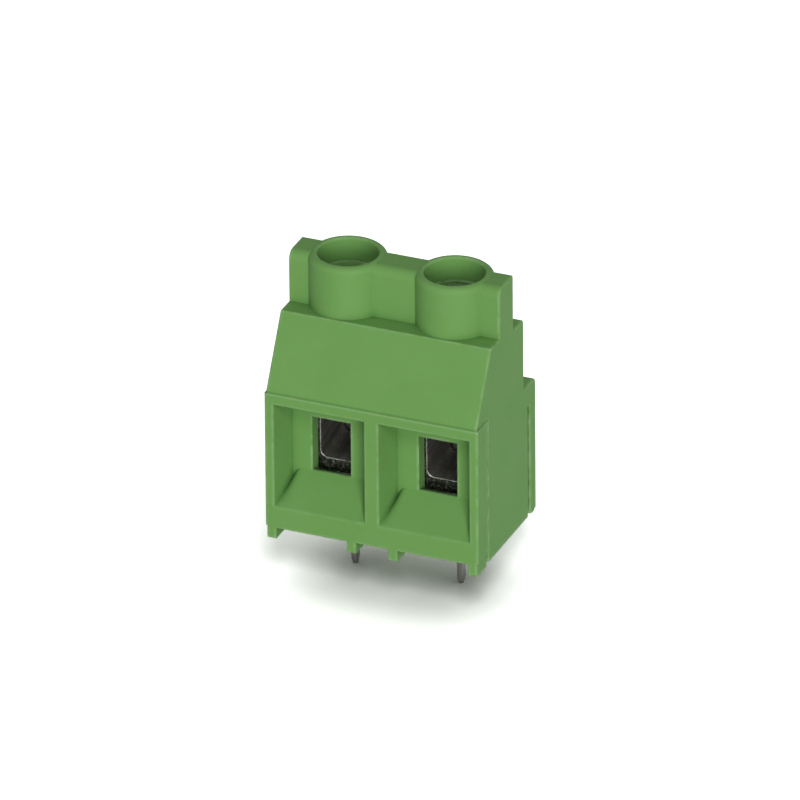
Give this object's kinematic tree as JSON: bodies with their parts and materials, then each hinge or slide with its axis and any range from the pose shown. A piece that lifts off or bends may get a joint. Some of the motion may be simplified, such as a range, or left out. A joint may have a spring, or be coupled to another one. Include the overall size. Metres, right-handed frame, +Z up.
{
  "type": "pcb screw terminal block",
  "caption": "Green screw terminal block for a circuit board: wire funnels in front, tall screw collars on a ridge, and sleeves that lift to clamp the wires.",
  "frame": {"origin": "on the board's surface, in the row of solder pins, midway between the two poles", "axes": "+Z up from the board, front with the wire funnels faces -Y, poles in a row along X"},
  "size_m": [0.0195, 0.0129, 0.0296],
  "materials": {
    "housing": "satin moulded",
    "sleeve": "plated, dull",
    "screw": "zinc plated",
    "contact": "tin plated"
  },
  "bodies": {
    "block": {"housing": "housing", "contact_1": "contact", "contact_2": "contact"},
    "screw_1": {"screw_1": "screw"},
    "sleeve_1": {"sleeve_1": "sleeve"},
    "screw_2": {"screw_2": "screw"},
    "sleeve_2": {"sleeve_2": "sleeve"}
  },
  "joints": [
    {"name": "screw_1_turn", "type": "hinge", "parent": "block", "child": "screw_1", "pos_m": [-0.00476, -0.00103, 0.01947], "axis": [0, 0, -1], "range_deg": [0, 2917]},
    {"name": "sleeve_1_lift", "type": "slide", "parent": "block", "child": "sleeve_1", "axis": [0, 0, 1], "range_m": [0, 0.00405]},
    {"name": "screw_2_turn", "type": "hinge", "parent": "block", "child": "screw_2", "pos_m": [0.00476, -0.00103, 0.01947], "axis": [0, 0, -1], "range_deg": [0, 2917]},
    {"name": "sleeve_2_lift", "type": "slide", "parent": "block", "child": "sleeve_2", "axis": [0, 0, 1], "range_m": [0, 0.00405]}
  ],
  "couplings": [
    {"joint": "screw_1_turn", "follows": "sleeve_1_lift", "rad_per_m": 12566},
    {"joint": "screw_2_turn", "follows": "sleeve_2_lift", "rad_per_m": 12566}
  ]
}
